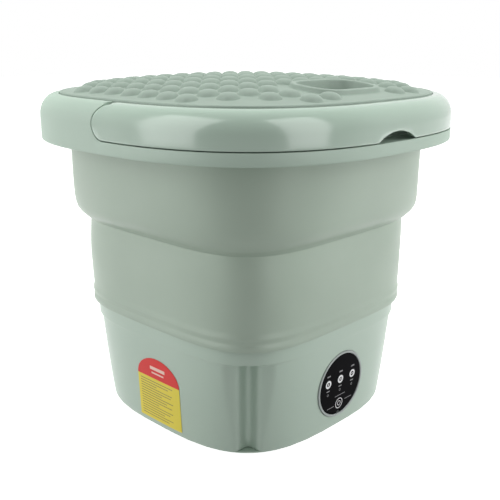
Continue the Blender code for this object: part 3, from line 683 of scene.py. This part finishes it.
def make_lid():
    tray_floor = float(dome(0.0, TRAY_Y)) - TRAY_DEEP
    loops = [
        lifted(plan(LID_EDGE), LID_EDGE_TOP - 0.8),
        lifted(plan(LID_EDGE, 0.3), LID_EDGE_TOP + 0.0),
        lifted(plan(LID_EDGE, 1.0), LID_EDGE_TOP + 0.55),
        lifted(plan(LID_EDGE, 2.0), LID_EDGE_TOP + 0.75),
        lifted(plan(LID_EDGE, 3.0), LID_EDGE_TOP + 0.6),
        lifted(plan(LID_EDGE, 4.2), dome),
        tray_loop(TRAY_OUT, 1.6, dome),
        tray_loop(TRAY_OUT, 0.6, above(0.7)),
        tray_loop(TRAY_OUT, 0.0, above(TRAY_LIP - 1.0)),
        tray_loop(TRAY_OUT, -0.5, above(TRAY_LIP - 0.3)),
        tray_loop(TRAY_OUT, -1.4, above(TRAY_LIP)),
        tray_loop(TRAY_IN, 1.4, above(TRAY_LIP)),
        tray_loop(TRAY_IN, 0.5, above(TRAY_LIP - 0.3)),
        tray_loop(TRAY_IN, 0.0, above(TRAY_LIP - 1.0)),
        tray_loop(TRAY_IN, -0.8, tray_floor + 3.0),
        tray_loop(TRAY_IN, -1.6, tray_floor + 1.0),
        tray_loop(TRAY_IN, -3.6, tray_floor),
    ]
    singles = []
    angles = even_angles(28)
    centres = np.array(bump_centres())
    for x, y in centres:
        for share in (1.1, 1.0, 0.97, 0.92, 0.84, 0.72, 0.56, 0.38, 0.19):
            px = x + BUMP_R * share * np.cos(angles)
            py = y + BUMP_R * share * np.sin(angles)
            singles += list(zip(px, py, dome(px, py) + bump_lift(np.full(28, BUMP_R * share))))
        singles.append((x, y, float(dome(x, y)) + BUMP_HIGH))
    x, y, room = grid(165.0, 3.0, LID_EDGE)
    nearest = np.min(np.hypot(x[:, None] - centres[:, 0], y[:, None] - centres[:, 1]), axis=1)
    keep = (room > 6.0) & (nearest > BUMP_R * 1.1 + 1.0) & (tray_gap(x, y) > 3.4)
    singles += list(zip(x[keep], y[keep], dome(x[keep], y[keep])))
    top_points, top_faces, top_edge = sheet(loops, singles, 0)

    under = above(-LID_SKIN)
    loops = [
        lifted(plan(LID_EDGE), LID_UNDER),
        lifted(plan(MOUTH_IN, 1.8), LID_UNDER),
        lifted(plan(MOUTH_IN, 2.0), 316.0),
        lifted(plan(MOUTH_IN, 4.0), 316.0),
        lifted(plan(MOUTH_IN, 4.2), under),
        tray_loop(TRAY_OUT, -2.2, under),
        tray_loop(TRAY_OUT, -2.6, tray_floor - 2.2),
    ]
    x, y, room = grid(160.0, 8.0, MOUTH_IN)
    keep = (room > 9.0) & (tray_gap(x, y) > 2.0)
    singles = list(zip(x[keep], y[keep], under(x[keep], y[keep])))
    low_points, low_faces, low_edge = sheet(loops, singles, len(top_points))
    side = []
    for index in range(len(top_edge)):
        after = (index + 1) % len(top_edge)
        side.append((top_edge[index], low_edge[index], low_edge[after], top_edge[after]))
    lid = make("lid_skin", top_points + low_points, top_faces + low_faces + side, SAGE_LID_PAINTED_SHADE, 44.0)
    done(lid, "lid", "sage_plastic", "lid")


# ---------------------------------------------------------------- panel and label


def flat_print(name, shapes, look, low, high):
    """Thin printed marks on the panel: each shape is an outline, or an outer and an inner one."""
    points = []
    faces = []
    for outer, inner in shapes:
        start = len(points)
        count = len(outer)
        edges = [outer] if inner is None else [outer, inner]
        for outline in edges:
            for level in (low, high):
                points += [(x, y, level) for x, y in outline]
        for number in range(len(edges)):
            base = start + 2 * number * count
            for near in range(count):
                far = (near + 1) % count
                faces.append((base + near, base + far, base + count + far, base + count + near))
        if inner is None:
            faces.append(tuple(range(start, start + count)))
            faces.append(tuple(range(start + count, start + 2 * count)))
        else:
            for level in (0, 1):
                out = start + level * count
                inside = start + (2 + level) * count
                for near in range(count):
                    far = (near + 1) % count
                    faces.append((out + near, out + far, inside + far, inside + near))
    return make(name, placed(np.array(points, float), PANEL_FRAME), faces, look, 20.0)


def disc(x, y, radius, sides=40):
    angles = even_angles(sides)
    return list(zip(x + radius * np.cos(angles), y + radius * np.sin(angles)))


def bar(x, y, half_long, half_wide, turn=0.0):
    cosine, sine = math.cos(turn), math.sin(turn)
    corners = ((-half_long, -half_wide), (half_long, -half_wide), (half_long, half_wide),
               (-half_long, half_wide))
    return [(x + cosine * a - sine * b, y + sine * a + cosine * b) for a, b in corners]


KEYS = ((-19.8, 5.6), (-0.8, 5.6), (18.2, 5.6))
MAIN_KEY = (-0.6, -21.0)


def make_panel():
    bezel = ((34.5, -4.2), (34.5, 0.5), (34.2, 0.9), (33.4, 1.05), (32.6, 0.9), (32.2, 0.5),
             (32.2, -3.4), (29.5, -3.4), (29.5, -4.2))
    frame_ring = turned("bezel_ring", bezel, GREY, PANEL_FRAME, 128, True)
    done(frame_ring, "base", "bezel_grey", "control_bezel")
    face = ((PANEL_R, -3.1), (PANEL_R, 0.0), (PANEL_R - 0.15, 0.3), (PANEL_R - 0.5, 0.5))
    panel = turned("panel_face", face, BLACK, PANEL_FRAME, 128)
    tab = PANEL_FRAME @ Matrix.Translation((0.0, -PANEL_R, 0.0))
    cut(panel, turned("cut_tab", ((3.4, -6.0), (3.4, 4.0)), None, tab, 40))
    smooth(panel.data)
    done(panel, "base", "gloss_black", "control_panel")
    bright = []
    for x, y in KEYS:
        bright.append((disc(x, y, 4.2), disc(x, y, 2.3)))
    bright.append((bar(KEYS[0][0], KEYS[0][1], 0.45, 1.5), None))
    bright.append((bar(KEYS[1][0] - 0.8, KEYS[1][1], 0.4, 1.3), None))
    bright.append((bar(KEYS[1][0] + 0.8, KEYS[1][1], 0.4, 1.3), None))
    bright.append((bar(KEYS[2][0], KEYS[2][1], 1.4, 0.45), None))
    bright.append((disc(*MAIN_KEY, 5.6), disc(*MAIN_KEY, 4.9)))
    bright.append((disc(*MAIN_KEY, 2.6), disc(*MAIN_KEY, 2.0)))
    done(flat_print("panel_marks", bright, PRINT, 0.52, 0.57), "base", "gloss_black")
    faint = []
    for x, y in KEYS:
        faint.append((bar(x, y + 8.6, 2.6, 0.7), None))
        faint.append((bar(x, y - 7.4, 2.4, 0.55), None))
        faint.append((disc(x, y - 11.6, 1.3, 20), disc(x, y - 11.6, 0.8, 20)))
    faint.append((bar(0.0, -12.0, 8.0, 0.35), None))
    faint.append((bar(-14.0, -22.0, 5.4, 0.35), None))
    faint.append((bar(14.0, -19.5, 5.4, 0.35), None))
    done(flat_print("panel_captions", faint, FAINT, 0.52, 0.56), "base", "gloss_black")


LABEL_MIDDLE = -6.5
LABEL_HALF = 31.0
LABEL_LOW = 8.0
LABEL_SQUARE = 54.5
LABEL_ARCH = 22.0


def arch_top(across):
    return LABEL_SQUARE + LABEL_ARCH * math.sqrt(max(0.0, 1.0 - across * across))


def wall_sheet(name, columns, lift, look):
    """Thin sheet on the side wall. columns is a list of (y, low z, high z)."""
    rows = 10
    points = []
    for height in lift:
        for y, low, high in columns:
            for row in range(rows + 1):
                z = low + (high - low) * row / rows
                points.append((-wall_depth(y, z) - height, y, z))
    count = len(columns)
    span = rows + 1
    faces = []
    for layer in (0, count * span):
        for column in range(count - 1):
            for row in range(rows):
                a = layer + column * span + row
                faces.append((a, a + span, a + span + 1, a + 1))
    half = count * span
    for column in range(count - 1):
        for row in (0, rows):
            a = column * span + row
            faces.append((a, a + span, a + span + half, a + half))
    for row in range(rows):
        for column in (0, count - 1):
            a = column * span + row
            faces.append((a, a + 1, a + 1 + half, a + half))
    return make(name, points, faces, look, 50.0)


def make_label():
    shares = [math.sin(0.5 * math.pi * step / 20) for step in range(-20, 21)]
    field = [(LABEL_MIDDLE + LABEL_HALF * share, LABEL_LOW, LABEL_SQUARE) for share in shares]
    label = wall_sheet("label_field", field, (0.12, 0.38), YELLOW)
    done(label, "base", "label_film", "info_label")
    inner = [share * 0.999 for share in shares]
    arch = [(LABEL_MIDDLE + LABEL_HALF * share, LABEL_SQUARE + 0.05, arch_top(share) + 0.06)
            for share in inner]
    done(wall_sheet("label_arch", arch, (0.12, 0.40), RED), "base", "label_film")


def label_bar(number, y, z, half_long, half_wide, look, kind):
    shares = (-1.0, -0.5, 0.0, 0.5, 1.0)
    columns = [(y + half_long * share, z - half_wide, z + half_wide) for share in shares]
    return wall_sheet("label_%s_%02d" % (kind, number), columns, (0.36, 0.44), look)


def joined(name, parts):
    """One object out of several with the same material."""
    builder = bmesh.new()
    for part in parts:
        builder.from_mesh(part.data)
    mesh = bpy.data.meshes.new(name)
    builder.to_mesh(mesh)
    builder.free()
    mesh.materials.append(parts[0].data.materials[0])
    smooth(mesh)
    for part in parts:
        bpy.data.objects.remove(part, do_unlink=True)
    made = bpy.data.objects.new(name, mesh)
    bpy.context.scene.collection.objects.link(made)
    return made


def make_label_print():
    """Plain bars in place of writing: no letters and no signs."""
    lengths = (0.92, 0.80, 0.46, 0.90, 0.86, 0.60, 0.92, 0.74, 0.88, 0.50, 0.90, 0.82, 0.66, 0.90,
               0.78)
    bars = []
    for number, share in enumerate(lengths):
        half = 0.5 * 52.0 * share
        middle = LABEL_MIDDLE + 27.0 - half
        bars.append(label_bar(number, middle, 50.6 - 2.75 * number, half, 0.42, INK, "line"))
    done(joined("label_lines", bars), "base", "label_film")
    heads = [label_bar(0, LABEL_MIDDLE, 65.6, 11.0, 1.7, PALE, "head"),
             label_bar(1, LABEL_MIDDLE, 60.6, 9.0, 0.8, PALE, "head")]
    done(joined("label_heading", heads), "base", "label_film")


# ---------------------------------------------------------------- fittings and drive


def make_fittings():
    socket = ((5.0, -9.0), (5.0, 0.5), (6.8, 0.5), (7.0, 0.8), (7.0, 1.7), (6.7, 2.0), (3.7, 2.0),
              (3.4, 1.7), (3.4, -7.0))
    inlet = turned("inlet_socket", socket, SOCKET, SOCKET_FRAME, 64)
    done(inlet, "base", "socket_black", "dc_socket")
    pin = ((0.9, -7.4), (0.9, -0.4), (0.6, 0.2))
    done(turned("inlet_pin", pin, STEEL, SOCKET_FRAME, 24), "base", "steel")
    pipe = ((4.8, -12.0), (7.0, -12.0), (7.0, 0.6), (9.3, 0.6), (9.6, 0.9), (9.6, 2.1), (9.3, 2.4),
            (7.0, 2.4), (7.0, 13.6), (6.6, 14.0), (4.8, 14.0))
    outlet = turned("outlet_pipe", pipe, WHITE, DRAIN_FRAME, 64, True)
    done(outlet, "base", "white_plastic", "drain_spigot")
    cap = [(4.4, 8.0), (4.4, 14.4), (7.4, 14.4), (7.4, 4.0), (8.9, 4.0), (9.2, 4.4)]
    for step in range(5):
        low = 5.4 + 1.9 * step
        cap += [(9.2, low), (8.85, low + 0.45), (8.85, low + 0.95), (9.2, low + 1.4)]
    cap += [(9.2, 15.4), (8.9, 16.1), (8.2, 16.6)]
    stopper = turned("outlet_cap", cap, RUBBER, DRAIN_FRAME, 64)
    done(stopper, "drain_cap", "black_rubber", "drain_cap")


def pulsator_height(radius, angle):
    """Top of the wash disc: low dome with a hub and swept vanes."""
    hub = 103.0 - 3.0 * (radius / 20.0) ** 2
    crown = 93.0 - 5.0 * (radius / PULSATOR_R) ** 2
    vane = 7.0 * np.maximum(0.0, np.cos(3.0 * angle + radius * 0.012)) ** 3
    fade = min(1.0, (PULSATOR_R - radius) / 14.0)
    return hub if radius < 20.0 else crown + vane * fade


def make_pulsator():
    angles = even_angles(144)
    bore = SHAFT_R + 0.3
    rings = [polar(bore, 84.5, angles), polar(14.0, 84.5, angles), polar(16.0, 87.0, angles),
             polar(PULSATOR_R - 4.0, 84.6, angles), polar(PULSATOR_R - 0.6, 83.4, angles),
             polar(PULSATOR_R, 84.2, angles), polar(PULSATOR_R, 86.0, angles),
             polar(PULSATOR_R - 0.5, 86.7, angles)]
    for radius in (88.5, 86.0, 82.0, 77.0, 70.0, 62.0, 53.0, 44.0, 36.0, 30.0, 25.0, 22.0, 20.1):
        rings.append(polar(radius, pulsator_height(radius, angles), angles))
    for radius in (19.6, 16.0, 12.0, 8.0):
        rings.append(polar(radius, pulsator_height(radius, angles), angles))
    rings += [polar(7.0, 102.4, angles), polar(7.0, 99.4, angles), polar(2.2, 99.4, angles),
              polar(2.2, 95.4, angles), polar(bore, 95.4, angles)]
    disc_top = loft("wash_disc", rings, WHITE)
    done(disc_top, "pulsator", "white_plastic", "pulsator")


NODE_LOOKS = {
    "bottom_cover": SAGE, "motor": STEEL, "motor_bracket": STEEL, "circuit_board": BOARD,
    "touch_board": BOARD, "bearing_bush": BRASS, "shaft_seal": RUBBER, "drive_shaft": STEEL,
    "pulsator_screw": STEEL, "drain_hose": RUBBER, "pivot_pin_left": STEEL,
    "pivot_pin_right": STEEL, "foot_front_left": RUBBER, "foot_front_right": RUBBER,
    "foot_back_left": RUBBER, "foot_back_right": RUBBER, "cover_screw_1": STEEL,
    "cover_screw_2": STEEL, "cover_screw_3": STEEL, "cover_screw_4": STEEL,
    "bracket_screw_1": STEEL, "bracket_screw_2": STEEL,
}


def dress_nodes():
    """Better materials on the nodes whose shape is already right."""
    for name, look in NODE_LOOKS.items():
        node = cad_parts[name]
        node.data.materials.clear()
        node.data.materials.append(look)


# ---------------------------------------------------------------- stage, light and camera


def make_stage():
    half = 6.0
    corners = [(-half, -half, 0.0), (half, -half, 0.0), (half, half, 0.0), (-half, half, 0.0)]
    mesh = bpy.data.meshes.new("floor")
    mesh.from_pydata(corners, [], [(0, 1, 2, 3)])
    floor = bpy.data.objects.new("floor", mesh)
    bpy.context.scene.collection.objects.link(floor)
    paint = plastic("floor_paint", (0.80, 0.80, 0.80), 0.7, 0.0, 200.0, 0.0)
    shader = paint.node_tree.nodes["Principled BSDF"]
    shader.inputs["Emission Color"].default_value = (1.0, 1.0, 1.0, 1.0)
    shader.inputs["Emission Strength"].default_value = 0.80
    mesh.materials.append(paint)
    floor.visible_diffuse = False
    world = bpy.data.worlds.new("studio")
    bpy.context.scene.world = world
    bpy.context.scene.view_settings.view_transform = "Standard"
    world.use_nodes = True
    nodes = world.node_tree.nodes
    links = world.node_tree.links
    fill = nodes["Background"]
    fill.inputs["Color"].default_value = (1.0, 1.0, 1.0, 1.0)
    fill.inputs["Strength"].default_value = 0.48
    paper = nodes.new("ShaderNodeBackground")
    paper.inputs["Color"].default_value = (1.0, 1.0, 1.0, 1.0)
    paper.inputs["Strength"].default_value = 1.0
    path = nodes.new("ShaderNodeLightPath")
    choice = nodes.new("ShaderNodeMixShader")
    links.new(path.outputs["Is Diffuse Ray"], choice.inputs["Fac"])
    links.new(paper.outputs["Background"], choice.inputs[1])
    links.new(fill.outputs["Background"], choice.inputs[2])
    links.new(choice.outputs["Shader"], nodes["World Output"].inputs["Surface"])


def softbox(name, place, target, wide, high, power, sheen=False):
    """Soft light. One kind only lights surfaces, the other only shows as a reflection."""
    data = bpy.data.lights.new(name, "AREA")
    data.shape = "RECTANGLE"
    data.size = wide
    data.size_y = high
    data.energy = power
    light = bpy.data.objects.new(name, data)
    light.visible_diffuse = not sheen
    light.visible_glossy = sheen
    light.location = place
    light.rotation_euler = (Vector(target) - Vector(place)).to_track_quat("-Z", "Y").to_euler()
    bpy.context.scene.collection.objects.link(light)


def round_object(direction, distance, height):
    """A place at a compass direction in degrees, counted from +X towards +Y."""
    angle = math.radians(direction)
    return (distance * math.cos(angle), distance * math.sin(angle), height)


def make_light():
    middle = (0.0, 0.0, 0.22)
    softbox("softbox_left", round_object(134.0, 1.5, 0.42), middle, 0.8, 1.2, 13.5)
    softbox("softbox_right", round_object(316.0, 1.5, 0.42), middle, 0.8, 1.2, 15.0)
    softbox("softbox_top", (0.15, 0.15, 1.8), middle, 1.4, 1.4, 24.0)
    softbox("sheen_left", round_object(168.0, 1.5, 1.0), middle, 1.2, 2.2, 28.0, True)
    softbox("sheen_right", round_object(268.0, 1.5, 1.0), middle, 1.0, 2.2, 24.0, True)


def make_camera():
    data = bpy.data.cameras.new("camera")
    data.sensor_width = 36.0
    data.lens = CAMERA_LENS
    data.clip_start = 0.05
    data.clip_end = 50.0
    camera = bpy.data.objects.new("camera", data)
    level = Vector(CAMERA_LEVEL).normalized()
    look = level * math.cos(CAMERA_PITCH) + Vector((0.0, 0.0, -math.sin(CAMERA_PITCH)))
    turn = look.to_track_quat("-Z", "Y").to_matrix().to_4x4()
    roll = Matrix.Rotation(CAMERA_ROLL, 4, "Z")
    camera.matrix_world = Matrix.Translation(CAMERA_AT) @ turn @ roll
    bpy.context.scene.collection.objects.link(camera)
    bpy.context.scene.camera = camera


make_camera()
make_base()
make_tub()
make_rim()
make_handle()
make_lid()
make_panel()
make_label()
make_label_print()
make_fittings()
make_pulsator()
dress_nodes()
make_stage()
make_light()
